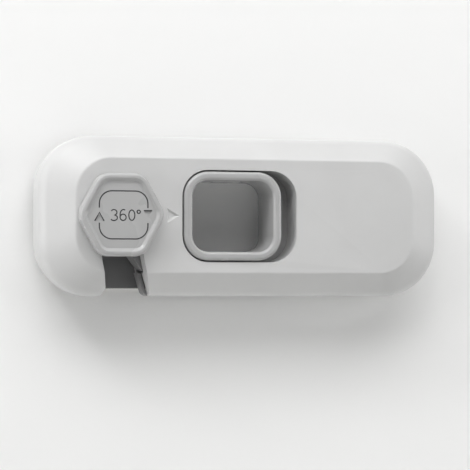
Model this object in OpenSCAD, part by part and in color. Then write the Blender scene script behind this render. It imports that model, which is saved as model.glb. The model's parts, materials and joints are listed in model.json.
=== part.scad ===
// Cabinet safety lock: a casing that swings on one door and hooks a stud on the other.
// X runs along the casing to the right, Z is up and Y points into the door.
// The origin lies on the swing axis, on the door's face.

/* [Casing] */
// Length of the casing from end to end
case_l = 120; // [112:1:130]
// Height of the casing from edge to edge
case_h = 46; // [44:0.5:52]
// Share of the casing's length that lies beyond the swing axis
pivot_share = 0.2167; // [0.2:0.0001:0.25]
// Share of the casing's length from the swing axis to the stud
stud_share = 0.6; // [0.58:0.005:0.62]
// Corner radius of the casing's outline
case_corner_r = 16; // [14:0.5:18]
// Corner radius of the raised front face
front_corner_r = 10.5; // [8:0.5:12]
// Height of the front face above the door
front_t = 19; // [18.5:0.1:19.3]
// Height above the door at which the straight side meets the slope
side_t = 13; // [12:0.25:14]
// Width of the slope at the two ends
slope_end = 9.6; // [8:0.2:11]
// Width of the slope along the two long sides
slope_side = 6.6; // [5.6:0.2:7.4]
// Fillet between the straight side and the slope
side_fillet = 5; // [3:0.5:6]
// Fillet round the front face
front_fillet = 1; // [0.6:0.2:2]
// Wall thickness of the casing
case_wall = 2; // [1.6:0.1:2.2]
// Gap between the door and the casing's rear edge
rear_gap = 3.6; // [3.4:0.1:3.8]
// Thickness of the rear cover
cover_t = 2; // [1.8:0.1:2.1]

/* [Slide button] */
// Distance from the swing axis to the button's window
pivot_room = 19.55; // [19:0.05:21]
// Distance from the window to the stud's slot
bolt_room = 12.25; // [12:0.05:14]
// Distance from the button to the casing's long edges
button_margin = 10.25; // [9.5:0.05:11]
// Corner radius of the button
button_r = 7.2; // [5:0.2:8]
// Travel of the button
travel = 4.2; // [3.8:0.1:4.5]
// Width of the button's wall round the finger hole
rim_w = 2.5; // [2:0.1:3]
// Gap between the button and its window
window_gap = 0.45; // [0.3:0.05:0.6]
// Height of the button's rim above the front face
rim_proud = 0.8; // [0.4:0.1:1.2]

/* [Stud] */
// Diameter of the stud's neck
neck_d = 7; // [6.5:0.25:7.5]
// Width of the hexagonal head across its flats
head_af = 23.4; // [20:0.2:24]
// Corner radius of the hexagonal head
head_corner_r = 5; // [3:0.2:6]
// Share of a regular hexagon's width that the head has from tip to tip
head_tip_share = 0.94; // [0.9:0.01:1]
// Thickness of the hexagonal head
head_t = 4; // [3.5:0.1:5]
// Width of the head's raised rim
head_rim_w = 2.2; // [1.6:0.1:3]
// Depth of the dish inside the rim
dish_depth = 0.8; // [0.4:0.1:1.2]

/* [Door plates] */
// Length of the plate under the swing axis
base_l = 44; // [40:1:46]
// Length of the plate under the stud
stud_base_l = 34; // [32:1:36]
// Distance from both plates' edges to the casing's long edges
plate_inset = 2.25; // [2:0.25:5]
// Thickness of both plates
plate_t = 2.2; // [2:0.1:2.4]
// Corner radius of both plates
plate_r = 8; // [7:0.5:10]
// Thickness of the foam pads
pad_t = 1; // [0.8:0.1:1.2]
// Diameter of the pivot boss
pivot_d = 14; // [12:0.5:15]

/* [Hidden] */
$fn = 64;
// Segments in each rounded corner, and in each fillet
corner_n = 10;
fillet_n = 5;
// Overrun of every cut
over = 1;
// Radial clearance of parts that turn, and of parts that are pressed together by screws
run_clear = 0.05;
// Clearance between faces that slide past each other
face_clear = 0.1;
// Clearance between fixed inner parts
side_clear = 0.3;

// Levels above the door
plate_top = pad_t + plate_t;
cover_top = rear_gap + cover_t;
inner_top = front_t - case_wall;

// Fillet inside the casing's front wall
inner_fillet = 0.4;

// Outline of the casing and place of the stud
pivot_inset = case_l * pivot_share;
stud_r = case_l * stud_share;
case_x0 = pivot_inset - case_l;
case_x1 = pivot_inset;
case_z = case_h / 2;
slope_tilt = atan2(slope_side, front_t - side_t);
inner_side_t = side_t - case_wall * tan(slope_tilt / 2);
inner_share = (inner_top - inner_side_t) / (front_t - side_t);

// Slot for the stud's neck, an arc about the swing axis
slot_clear_out = 2.4;
slot_clear_in = 2.6;
slot_r_out = stud_r + neck_d / 2 + slot_clear_out;
slot_r_in = stud_r - neck_d / 2 - slot_clear_in;
slot_mid_r = (slot_r_out + slot_r_in) / 2;
slot_end_r = (slot_r_out - slot_r_in) / 2;
slot_end_gap = 0.2;
slot_end_z = neck_d / 2 + slot_end_gap - slot_end_r;
slot_wall = 1.6;
mouth_r = 2.6;
curb_gap = 0.5;

// Pivot
pivot_bore_r = pivot_d / 2 + run_clear;
collar_w = 2.5;
collar_r = pivot_d / 2 + collar_w;
collar_t = 1.3;
collar_top = cover_top + collar_t;
pivot_top = collar_top + face_clear;
pivot_washer_t = 1;
slip_washer_t = rear_gap - plate_top;
slip_rim = 2;
slip_washer_r = collar_r + slip_rim;

// Button, its window and its flange
window_x0 = bolt_room - slot_r_in;
window_x1 = -pivot_room;
button_x0 = window_x0 + window_gap;
button_x1 = window_x1 - travel - window_gap;
button_z = case_z - button_margin;
window_z = button_z + window_gap;
window_r = button_r + window_gap;
well_wall = 1.6;
flange_t = 1.6;
rim_top = front_t + rim_proud;
button_t0 = rear_gap + face_clear;
bearer_h = 2.2;
bearer_top = cover_top + bearer_h;
flange_z0 = bearer_top + face_clear;
flange_z1 = flange_z0 + flange_t;
well_bottom = flange_z1 + face_clear;
flange_overlap = 1.5;
flange_w = 2.5;
flange_x0 = window_x0 - travel - flange_overlap;
push_x0 = window_x1 + well_wall + side_clear;
push_w = 1.5;
push_x1 = push_x0 + push_w;
rim_round = 1;

// Latch bolt: a ledge under the neck and a ramp that the neck rides on when the lock closes
ledge_gap = 0.4;
ledge_z = -neck_d / 2 - ledge_gap;
bolt_reach = 0.5;
bolt_tip_x = -stud_r + bolt_reach;
guide_h = 7.3;
bolt_foot_z = guide_h - case_z;
bolt_tip_flat = 1.6;
bolt_foot_r = slot_r_in;
bolt_foot_x = -sqrt(pow(bolt_foot_r, 2) - pow(bolt_foot_z, 2));
bolt_t0 = cover_top + 2 * face_clear;
bolt_top = 13.5;
curb_t0 = bolt_top + curb_gap;
shank_x1 = window_x0 - well_wall - travel - side_clear;
bolt_head_w = 0.8;
bolt_head_x1 = bolt_foot_x + bolt_head_w;
tab_x0 = bolt_head_x1 + side_clear;
tab_z0 = bolt_foot_z;
tab_z1 = ledge_z;

// Guide that continues the slot's inner edge below the bolt
guide_split = 0.5;
guide_proud = 1;
guide_r = slot_r_in + guide_proud;
guide_top_z = bolt_foot_z - guide_split;
guide_w = 5.5;
guide_peg_r = 1.2;
guide_peg_inset = 3;
guide_peg_x = -sqrt(pow(guide_r - guide_peg_inset, 2) - pow(guide_top_z - guide_peg_inset, 2));
guide_peg_z = guide_top_z - guide_peg_inset;
guide_skirt_w = guide_proud - face_clear;
guide_shoulder = 2.8;
guide_rear_top = side_t - guide_shoulder;
guide_step = 2.5;
guide_top = bolt_top - guide_step;

// Springs that push the button back
coil_d = 5;
wire_d = 0.6;
coil_turns = 6;
coil_steps = 8;
wire_sides = 6;
spring_l = 12;
spring_x0 = push_x1;
spring_x1 = spring_x0 + spring_l;
spring_side = coil_d / 2 + side_clear;
spring_t = (flange_z0 + flange_z1) / 2;
seat_w = 1.5;
seat_rim = 0.5;
seat_h = coil_d + 2 * seat_rim;
spring_z = max(button_z + flange_w - spring_side, collar_r + seat_h / 2 + face_clear);
flange_half_h = spring_z + spring_side;
push_top = spring_t + coil_d / 2 + side_clear;
rail_w = 1.2;
rail_top = flange_z1 - side_clear;
bearer_z = window_z + rail_w / 2;

// Screws: head diameter, head height, shank diameter
cover_head_d = 5;
cover_head_h = 1.1;
cover_shank_d = 2.2;
cover_screw = [cover_head_d, cover_head_h, cover_shank_d];
latch_head_d = 3.2;
latch_head_h = 1.1;
latch_shank_d = 1.6;
latch_screw = [latch_head_d, latch_head_h, latch_shank_d];
knob_head_d = 7;
knob_head_h = 0.9;
knob_shank_d = 3;
knob_screw_size = [knob_head_d, knob_head_h, knob_shank_d];
pivot_head_d = 8;
pivot_head_h = 2.2;
pivot_shank_d = 4;
pivot_screw_size = [pivot_head_d, pivot_head_h, pivot_shank_d];
recess_share = 0.55;
recess_w_share = 0.16;
recess_depth_share = 0.55;
boss_r = 3.2;
boss_inset = 8;
boss_side = 9;
boss_z = case_z - boss_side;
boss_xs = [case_x0 + boss_inset, case_x1 - boss_inset];
cover_screw_l = 6;
latch_screw_l = 3.4;
pivot_screw_l = pivot_top + pivot_washer_t - pad_t;
counterbore_gap = 0.4;
latch_screw_x = (tab_x0 + shank_x1) / 2;
latch_screw_shares = [0.24, 0.76];
latch_screw_zs = [for (share = latch_screw_shares) ledge_z + share * (bolt_foot_z - ledge_z)];

// Stud and the two plates
plate_z = case_z - plate_inset;
spigot_d = 6;
spigot_bore_r = spigot_d / 2 + run_clear;
stud_web = 1.3;
knob_washer_t = 0.8;
knob_washer_r = 6;
counterbore_r = knob_washer_r + counterbore_gap;
knob_screw_l = 10;
head_gap = 0.4;
head_t0 = front_t + head_gap;
head_t1 = head_t0 + head_t;
head_round = 1;
neck_t0 = plate_top + run_clear;
spigot_t0 = plate_top - stud_web - run_clear;
pad_hole_r = counterbore_r + counterbore_gap;

// Mark pressed into the front face, pointing along the slide
mark_l = 3.6;
mark_h = 4.2;
mark_depth = 0.5;
mark_gap = 0.9;
mark_floor_share = 0.55;

white = [0.88, 0.88, 0.87];
grey = [0.62, 0.62, 0.62];
dark = [0.30, 0.30, 0.31];
foam = [0.85, 0.85, 0.82];
steel = [0.72, 0.73, 0.75];

// A flat piece is drawn in X and Z with its height above the door, then stood against the door.
module stand() {
    rotate([90, 0, 0]) children();
}

// Points of a rounded rectangle, counterclockwise from its right-hand side
function rect_ring(x0, x1, z0, z1, r) = [
    for (c = [0:3], i = [0:corner_n])
        let (a = 90 * c + 90 * i / corner_n)
        [(c == 0 || c == 3 ? x1 - r : x0 + r) + r * cos(a), (c < 2 ? z1 - r : z0 + r) + r * sin(a)]
];

// Points of a hexagon with round corners, its tips to the left and right
function hex_ring(af, r) = [
    for (c = [0:5], i = [0:corner_n])
        let (a = 60 * c, b = a - 30 + 60 * i / corner_n, d = (af / 2 - r) / cos(30))
        [(d * cos(a) + r * cos(b)) * head_tip_share, d * sin(a) + r * sin(b)]
];

// Solid through rings that all have the same number of points, each at its own height.
// A closed loft runs from its last ring back to its first, round an open middle.
module loft(rings, heights, closed = false) {
    n = len(rings[0]);
    count = len(rings);
    last = count - 1;
    points = [for (k = [0:last], p = rings[k]) [p.x, p.y, heights[k]]];
    sides = [
        for (k = [0:closed ? last : last - 1], i = [0:n - 1], half = [0:1])
            let (j = (i + 1) % n, a = k * n, b = (k + 1) % count * n)
            half == 0 ? [a + i, b + i, b + j] : [a + i, b + j, a + j]
    ];
    caps = closed ? [] : [[for (i = [0:n - 1]) i], [for (i = [n - 1:-1:0]) last * n + i]];
    polyhedron(points, concat(sides, caps));
}

// Half profile of the casing: pairs of the slope's share and the height, from the side to the front
function case_profile(side, top, width, r1, r2) =
    let (tilt = atan2(width, top - side), l1 = r1 * tan(tilt / 2), l2 = r2 * tan((90 - tilt) / 2))
    concat(
        [for (i = [0:fillet_n]) let (a = tilt * i / fillet_n)
            [(r1 - r1 * cos(a)) / width, side - l1 + r1 * sin(a)]],
        [for (i = [0:fillet_n]) let (a = tilt + (90 - tilt) * i / fillet_n)
            [(width + l2 - r2 * cos(a)) / width, top - r2 + r2 * sin(a)]]
    );

// Casing form from a given height up, set in from the outer face by the given wall
module case_form(bottom, inset, side, top, share, r1, r2) {
    profile = concat([[0, bottom]], case_profile(side, top, slope_side * share, r1, r2));
    loft([
        for (p = profile)
            let (e = inset + p[0] * slope_end * share, s = inset + p[0] * slope_side * share)
            rect_ring(case_x0 + e, case_x1 - e, s - case_z, case_z - s,
                case_corner_r - inset + p[0] * share * (front_corner_r - case_corner_r))
    ], [for (p = profile) p[1]]);
}

module case_outer() {
    case_form(rear_gap, 0, side_t, front_t, 1, side_fillet, front_fillet);
}

module case_inner() {
    case_form(rear_gap - over, case_wall, inner_side_t, inner_top, inner_share,
        side_fillet - case_wall, inner_fillet);
}

module bar(x0, x1, z0, z1, t0, t1) {
    translate([x0, z0, t0]) cube([x1 - x0, z1 - z0, t1 - t0]);
}

module plate(x0, x1, z0, z1, r, t0, t1) {
    translate([0, 0, t0]) linear_extrude(t1 - t0) polygon(rect_ring(x0, x1, z0, z1, r));
}

module rod(x, z, r, t0, t1) {
    translate([x, z, t0]) cylinder(r = r, h = t1 - t0);
}

module window_outline(grow) {
    polygon(rect_ring(window_x0 - grow, window_x1 + grow, -window_z - grow, window_z + grow, window_r + grow));
}

// Slot outline: an arc that opens at the casing's lower edge, with a round upper end
module slot_outline(grow) {
    end_x = -sqrt(pow(slot_mid_r, 2) - pow(slot_end_z, 2));
    intersection() {
        difference() {
            circle(slot_r_out + grow, $fn = 256);
            circle(slot_r_in - grow, $fn = 256);
        }
        translate([-slot_r_out - slot_wall - over, -case_h]) square([slot_r_out, case_h + slot_end_z]);
    }
    translate([end_x, slot_end_z]) circle(slot_end_r + grow);
}

// Rounding of the slot's two lower corners
module mouth_outline() {
    wall_z = -case_z;
    for (side = [-1, 1]) {
        r = side < 0 ? slot_r_out : slot_r_in;
        edge_x = -sqrt(pow(r, 2) - pow(case_z - mouth_r, 2));
        difference() {
            translate([edge_x - mouth_r, wall_z - over]) square([2 * mouth_r, mouth_r + over]);
            translate([edge_x + side * mouth_r, wall_z + mouth_r]) circle(mouth_r);
            translate([side < 0 ? edge_x - 2 * mouth_r : edge_x + mouth_r, wall_z - over])
                square([mouth_r, mouth_r + over]);
        }
    }
}

module slot_cut(t0, t1) {
    translate([0, 0, t0]) linear_extrude(t1 - t0) {
        slot_outline(0);
        mouth_outline();
    }
}

// Cross recess in a screw's head
module cross_recess(size) {
    l = size[0] * recess_share;
    w = size[0] * recess_w_share;
    depth = size[1] * recess_depth_share;
    for (a = [0, 90])
        rotate(a) translate([-l / 2, -w / 2, -over]) cube([l, w, depth + over]);
}

// Screw driven towards the front, its head's underside at the given height
module screw_in(x, z, t, size, length) {
    translate([x, z, t]) {
        difference() {
            translate([0, 0, -size[1]]) cylinder(d = size[0], h = size[1]);
            translate([0, 0, -size[1]]) cross_recess(size);
        }
        cylinder(d = size[2], h = length);
    }
}

module front_shell() {
    color(white) stand() difference() {
        union() {
            difference() {
                case_outer();
                case_inner();
            }
            intersection() {
                case_outer();
                union() {
                    translate([0, 0, well_bottom]) linear_extrude(front_t - well_bottom)
                        window_outline(well_wall);
                    translate([0, 0, cover_top]) linear_extrude(front_t - cover_top) slot_curb();
                    translate([0, 0, curb_t0]) linear_extrude(front_t - curb_t0) slot_outline(slot_wall);
                    translate([0, 0, guide_top + curb_gap]) linear_extrude(front_t - guide_top - curb_gap)
                        guide_curb();
                    for (x = boss_xs, z = [-boss_z, boss_z])
                        rod(x, z, boss_r, cover_top, inner_top + case_wall / 2);
                }
            }
        }
        translate([0, 0, well_bottom - over]) linear_extrude(front_t) window_outline(0);
        slot_cut(rear_gap - over, front_t + over);
        for (x = boss_xs, z = [-boss_z, boss_z])
            rod(x, z, cover_screw[2] / 2 + run_clear, cover_top - over, cover_top + cover_screw_l);
        slide_mark();
    }
}

// Wall that closes the slot's outer side and its upper end
module slot_curb() {
    difference() {
        slot_outline(slot_wall);
        translate([-slot_mid_r, -case_h]) square([case_l, case_h + slot_end_z]);
    }
}

// Wall of the slot's inner side in front of the guide
module guide_curb() {
    intersection() {
        slot_outline(slot_wall);
        translate([-case_l, -case_h]) square([case_l, case_h + guide_top_z]);
    }
}

// Triangle with sloping sides, pressed into the front face beside the button
module slide_mark() {
    middle = window_x0 - mark_gap - mark_l * 2 / 3;
    corners = [[mark_l * 2 / 3, 0], [-mark_l / 3, mark_h / 2], [-mark_l / 3, -mark_h / 2]];
    shares = [mark_floor_share, 1, 1];
    loft([for (share = shares) [for (p = corners) [middle + share * p.x, share * p.y]]],
        [front_t - mark_depth, front_t, front_t + over]);
}

module rear_cover() {
    gap = case_wall + face_clear;
    color(white) stand() difference() {
        union() {
            plate(case_x0 + gap, case_x1 - gap, gap - case_z, case_z - gap, case_corner_r - gap, rear_gap, cover_top);
            rod(0, 0, collar_r, rear_gap, collar_top);
            for (side = [-1, 1]) {
                rail_z = side * (flange_half_h + side_clear + rail_w / 2);
                bar(window_x0, window_x1, rail_z - rail_w / 2, rail_z + rail_w / 2, rear_gap, rail_top);
                bar(window_x0, window_x1, side * bearer_z - rail_w / 2, side * bearer_z + rail_w / 2,
                    rear_gap, bearer_top);
                bar(spring_x1, spring_x1 + seat_w, side * spring_z - seat_h / 2, side * spring_z + seat_h / 2,
                    rear_gap, push_top);
            }
        }
        rod(0, 0, pivot_bore_r, rear_gap - over, collar_top + over);
        slot_cut(rear_gap - over, cover_top + over);
        translate([0, 0, rear_gap - over]) linear_extrude(cover_t + 2 * over) window_outline(0);
        rod(guide_peg_x, guide_peg_z, guide_peg_r + run_clear, rear_gap - over, cover_top + over);
        for (x = boss_xs, z = [-boss_z, boss_z]) {
            rod(x, z, cover_screw[2] / 2 + face_clear, rear_gap - over, cover_top + over);
            rod(x, z, cover_screw[0] / 2 + face_clear, rear_gap - over, rear_gap + cover_screw[1] + face_clear);
        }
    }
}

module slot_guide() {
    inner_z = case_wall + side_clear - case_z;
    color(dark) stand() {
        difference() {
            union() {
                translate([0, 0, cover_top]) linear_extrude(guide_rear_top - cover_top)
                    arc_strip(guide_r - guide_w, guide_r, inner_z, guide_top_z);
                translate([0, 0, cover_top]) linear_extrude(guide_top - cover_top)
                    arc_strip(guide_r - guide_skirt_w, guide_r, -case_z, guide_top_z);
            }
            translate([0, 0, cover_top - over]) linear_extrude(bolt_top) guide_lead();
        }
        rod(guide_peg_x, guide_peg_z, guide_peg_r, rear_gap, cover_top);
    }
}

// Strip between two arcs about the swing axis and two levels
module arc_strip(r0, r1, z0, z1) {
    intersection() {
        difference() {
            circle(r1, $fn = 256);
            circle(r0, $fn = 256);
        }
        translate([-r1 - over, z0]) square([r1, z1 - z0]);
    }
}

// Rounding at the foot of the guide, where the neck enters
module guide_lead() {
    edge_x = -sqrt(pow(guide_r, 2) - pow(case_z - mouth_r, 2));
    difference() {
        translate([edge_x - mouth_r, -case_z - over]) square([2 * mouth_r, mouth_r + over]);
        translate([edge_x + mouth_r, mouth_r - case_z]) circle(mouth_r);
    }
}

module cover_screws() {
    color(steel) stand()
        for (x = boss_xs, z = [-boss_z, boss_z])
            screw_in(x, z, rear_gap + cover_screw[1] + face_clear, cover_screw, cover_screw_l - cover_screw[1]);
}

module slide_button() {
    color(grey) stand() difference() {
        union() {
            button_tube();
            difference() {
                union() {
                    bar(flange_x0, push_x1, -flange_half_h, flange_half_h, flange_z0, flange_z1);
                    bar(tab_x0, flange_x0, tab_z0, tab_z1, flange_z0, flange_z1);
                    bar(push_x0, push_x1, -flange_half_h, flange_half_h, bolt_t0, push_top);
                }
                plate(button_x0 + rim_w / 2, button_x1 - rim_w / 2, rim_w / 2 - button_z, button_z - rim_w / 2,
                    button_r - rim_w / 2, button_t0, rim_top);
            }
        }
        for (z = latch_screw_zs)
            rod(latch_screw_x, z, latch_screw[2] / 2 + face_clear, flange_z0 - over, flange_z1 + over);
    }
}

// Button: a tube round the finger hole with a rounded rim
module button_tube() {
    outer = [
        for (i = [0:fillet_n]) let (a = 90 * i / fillet_n)
            [rim_round * (1 - cos(a)), rim_top - rim_round * (1 - sin(a))]
    ];
    inner = [
        for (i = [0:fillet_n]) let (a = 90 * i / fillet_n)
            [rim_w - rim_round * (1 - sin(a)), rim_top - rim_round * (1 - cos(a))]
    ];
    profile = concat([[0, button_t0]], outer, inner, [[rim_w, button_t0]]);
    loft([
        for (p = profile)
            rect_ring(button_x0 + p[0], button_x1 - p[0], p[0] - button_z, button_z - p[0], button_r - p[0])
    ], [for (p = profile) p[1]], closed = true);
}

module latch_bolt() {
    color(dark) stand() difference() {
        union() {
            translate([0, 0, bolt_t0]) linear_extrude(bolt_top - bolt_t0) bolt_outline(bolt_head_x1);
            translate([0, 0, flange_z1]) linear_extrude(bolt_top - flange_z1) bolt_outline(shank_x1);
        }
        for (z = latch_screw_zs)
            rod(latch_screw_x, z, latch_screw[2] / 2 + run_clear, flange_z1 - over, flange_z1 + latch_screw_l);
    }
}

module bolt_outline(x1) {
    polygon([[bolt_tip_x, ledge_z], [x1, ledge_z], [x1, bolt_foot_z], [bolt_foot_x, bolt_foot_z],
        [bolt_tip_x, ledge_z - bolt_tip_flat]]);
}

module latch_screws() {
    color(steel) stand()
        for (z = latch_screw_zs)
            screw_in(latch_screw_x, z, flange_z0, latch_screw, flange_t + latch_screw_l - face_clear);
}

// Coil spring along X between the button's push bar and its seat on the cover
module spring(side) {
    r = (coil_d - wire_d) / 2;
    steps = coil_turns * coil_steps;
    x0 = spring_x0 + wire_d / 2 + face_clear;
    pitch = (spring_l - wire_d - 2 * face_clear) / coil_turns;
    rings = [
        for (k = [0:steps])
            let (a = 360 * k / coil_steps)
            [for (i = [0:wire_sides - 1])
                let (b = -360 * i / wire_sides, q = r + wire_d / 2 * cos(b))
                [x0 + pitch * k / coil_steps + wire_d / 2 * sin(b), side * spring_z + q * cos(a), spring_t + q * sin(a)]]
    ];
    points = [for (ring = rings, p = ring) p];
    sides = [
        for (k = [0:steps - 1], i = [0:wire_sides - 1], half = [0:1])
            let (j = (i + 1) % wire_sides, a = k * wire_sides, b = a + wire_sides)
            half == 0 ? [a + i, b + i, b + j] : [a + i, b + j, a + j]
    ];
    caps = [
        for (i = [1:wire_sides - 2], end = [0:1])
            end == 0 ? [0, i, i + 1] : [steps * wire_sides, steps * wire_sides + i + 1, steps * wire_sides + i]
    ];
    echo(spring_gap = min([for (k = [0:steps - coil_steps]) norm(rings[k + coil_steps][0] - rings[k][0])]) - wire_d);
    polyhedron(points, concat(sides, caps));
}

module upper_spring() {
    color(steel) stand() spring(1);
}

module lower_spring() {
    color(steel) stand() spring(-1);
}

module hex_knob() {
    rim = [
        for (i = [0:fillet_n]) let (a = 90 * i / fillet_n)
            [head_round * (1 - cos(a)), head_t1 - head_round * (1 - sin(a))]
    ];
    dish = [[head_rim_w - dish_depth, head_t1], [head_rim_w, head_t1 - dish_depth]];
    profile = concat([[0, head_t0]], rim, dish);
    color(grey) stand() translate([-stud_r, 0]) difference() {
        union() {
            loft([for (p = profile) hex_ring(head_af - 2 * p[0], head_corner_r - p[0])], [for (p = profile) p[1]]);
            rod(0, 0, neck_d / 2, neck_t0, head_t0 + head_t / 2);
            rod(0, 0, spigot_d / 2, spigot_t0, neck_t0 + over);
        }
        rod(0, 0, knob_screw_size[2] / 2 + run_clear, spigot_t0 - over, spigot_t0 + knob_screw_l);
    }
}

module knob_washer() {
    color(steel) stand() translate([-stud_r, 0]) difference() {
        rod(0, 0, knob_washer_r, spigot_t0 - knob_washer_t, spigot_t0);
        rod(0, 0, knob_screw_size[2] / 2 + face_clear, spigot_t0 - knob_washer_t - over, spigot_t0 + over);
    }
}

module knob_screw() {
    color(steel) stand()
        screw_in(-stud_r, 0, spigot_t0 - knob_washer_t, knob_screw_size, knob_screw_l);
}

module base_plate() {
    color(white) stand() difference() {
        union() {
            plate(-base_l / 2, base_l / 2, -plate_z, plate_z, plate_r, pad_t, plate_top);
            rod(0, 0, pivot_d / 2, pad_t, pivot_top);
        }
        rod(0, 0, pivot_screw_size[2] / 2 + run_clear, pad_t - over, pivot_top + over);
    }
}

module base_pad() {
    color(foam) stand() plate(-base_l / 2, base_l / 2, -plate_z, plate_z, plate_r, 0, pad_t);
}

module slip_washer() {
    color(grey) stand() difference() {
        rod(0, 0, slip_washer_r, plate_top, plate_top + slip_washer_t);
        rod(0, 0, pivot_bore_r, plate_top - over, plate_top + slip_washer_t + over);
    }
}

module pivot_washer() {
    color(steel) stand() difference() {
        rod(0, 0, collar_r, pivot_top, pivot_top + pivot_washer_t);
        rod(0, 0, pivot_screw_size[2] / 2 + face_clear, pivot_top - over, pivot_top + pivot_washer_t + over);
    }
}

module pivot_screw() {
    color(steel) stand() translate([0, 0, pivot_top + pivot_washer_t]) mirror([0, 0, 1])
        screw_in(0, 0, 0, pivot_screw_size, pivot_screw_l);
}

module stud_base() {
    color(dark) stand() difference() {
        plate(-stud_r - stud_base_l / 2, stud_base_l / 2 - stud_r, -plate_z, plate_z, plate_r, pad_t, plate_top);
        rod(-stud_r, 0, spigot_bore_r, pad_t - over, plate_top + over);
        rod(-stud_r, 0, counterbore_r, pad_t - over, plate_top - stud_web);
    }
}

module stud_pad() {
    color(foam) stand() difference() {
        plate(-stud_r - stud_base_l / 2, stud_base_l / 2 - stud_r, -plate_z, plate_z, plate_r, 0, pad_t);
        rod(-stud_r, 0, pad_hole_r, -over, pad_t + over);
    }
}

front_shell();
rear_cover();
slot_guide();
cover_screws();
upper_spring();
lower_spring();
slide_button();
latch_bolt();
latch_screws();
hex_knob();
knob_washer();
knob_screw();
base_plate();
base_pad();
slip_washer();
pivot_washer();
pivot_screw();
stud_base();
stud_pad();
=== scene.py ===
"""Looks of a cabinet safety lock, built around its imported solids.

The casing swings on a plate on one door and hooks a hexagonal stud on the other.
Lengths are in metres, in the solids' own frame: X along the casing, Z up, Y into the door.
"""

from __future__ import annotations

import json
import logging
import math
from collections.abc import Iterable
from dataclasses import dataclass
from enum import Enum

import bmesh
import bpy
from mathutils import Matrix, Vector

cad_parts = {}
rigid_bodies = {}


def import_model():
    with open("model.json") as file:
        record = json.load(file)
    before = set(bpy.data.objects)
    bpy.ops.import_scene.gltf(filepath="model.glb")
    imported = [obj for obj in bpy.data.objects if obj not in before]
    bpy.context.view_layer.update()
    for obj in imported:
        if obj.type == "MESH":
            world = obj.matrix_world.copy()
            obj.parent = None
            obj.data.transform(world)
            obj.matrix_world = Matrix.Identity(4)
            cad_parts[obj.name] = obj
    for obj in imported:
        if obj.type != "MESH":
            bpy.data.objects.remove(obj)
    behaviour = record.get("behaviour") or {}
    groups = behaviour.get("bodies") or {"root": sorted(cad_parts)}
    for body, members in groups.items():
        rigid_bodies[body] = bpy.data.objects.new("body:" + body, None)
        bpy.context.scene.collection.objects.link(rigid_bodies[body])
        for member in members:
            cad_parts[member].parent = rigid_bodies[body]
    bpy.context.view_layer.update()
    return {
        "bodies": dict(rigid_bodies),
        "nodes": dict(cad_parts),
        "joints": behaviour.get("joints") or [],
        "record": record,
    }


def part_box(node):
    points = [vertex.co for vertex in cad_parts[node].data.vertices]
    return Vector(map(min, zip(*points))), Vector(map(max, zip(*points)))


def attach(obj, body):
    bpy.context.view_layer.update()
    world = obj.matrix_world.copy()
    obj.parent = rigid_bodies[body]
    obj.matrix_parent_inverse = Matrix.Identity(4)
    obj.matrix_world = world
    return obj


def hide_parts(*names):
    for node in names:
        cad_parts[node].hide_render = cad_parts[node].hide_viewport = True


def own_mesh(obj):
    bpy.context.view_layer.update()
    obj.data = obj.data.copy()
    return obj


LOG = logging.getLogger("cabinet_lock")
MM = 0.001
WELD = 0.002 * MM
CUT_SHARP_DEGREES = 40.0
WHITE = (1.0, 1.0, 1.0, 1.0)

# Where most of a noise texture's values lie.
NOISE_BAND = (0.3, 0.7)

# Numbers of the colour sockets on the Mix node, whose names aren't unique.
MIX_SHARE = 0
MIX_COLOURS = (6, 7)
MIX_RESULT = 2

Span = tuple[float, float]
Point = tuple[float, float]
Path = list[Point]
Outline = tuple[Point, ...]
Place = tuple[float, float, float]
Colour = tuple[float, float, float]
Inputs = dict[str | int, object]


class Body(Enum):
    """The rigid bodies that the pieces ride on."""

    DOORS = "door_side"
    CASING = "lock_body"
    SLIDER = "slider"
    KNOB = "knob"


class Slot(Enum):
    """The material slots of the record."""

    SHELL = "shell_white"
    GREY = "grey_plastic"
    DARK = "dark_plastic"
    STEEL = "steel"
    FOAM = "foam_tape"


class NodeBuilder:
    """Adds and links the nodes of one tree."""

    def __init__(self, tree: bpy.types.NodeTree) -> None:
        """Takes the tree to build in."""
        self.tree = tree

    def add(self, kind: str, inputs: Inputs | None = None, **values: object) -> bpy.types.Node:
        """Adds a node, sets its attributes and fills its inputs.

        Args:
            kind: The node's type name.
            inputs: A socket to link or a value to set, by the input's name or number.
            **values: Attributes of the node.

        Returns:
            The new node.
        """
        node = self.tree.nodes.new(kind)
        for name, value in values.items():
            setattr(node, name, value)
        for key, value in (inputs or {}).items():
            if isinstance(value, bpy.types.NodeSocket):
                self.tree.links.new(value, node.inputs[key])
            else:
                node.inputs[key].default_value = value
        return node

    def math(self, operation: str, first: object, second: object) -> bpy.types.NodeSocket:
        """Adds arithmetic on two sockets or numbers and returns the result's socket."""
        node = self.add("ShaderNodeMath", {0: first, 1: second}, operation=operation)
        return node.outputs["Value"]

    def seen_rays(self) -> bpy.types.NodeSocket:
        """Tells the rays by which the camera sees something, also in a reflection.

        Returns:
            A value of 1 on those rays and 0 on the rest.
        """
        rays = self.add("ShaderNodeLightPath").outputs
        mirrored = self.math("MAXIMUM", rays["Is Glossy Ray"], rays["Is Transmission Ray"])
        return self.math("MAXIMUM", rays["Is Camera Ray"], mirrored)


def tinted(colour: Colour, factor: float) -> Colour:
    """Scales a linear colour by a factor and keeps it in range."""
    return tuple(min(1.0, max(0.0, c * factor)) for c in colour)


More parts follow.
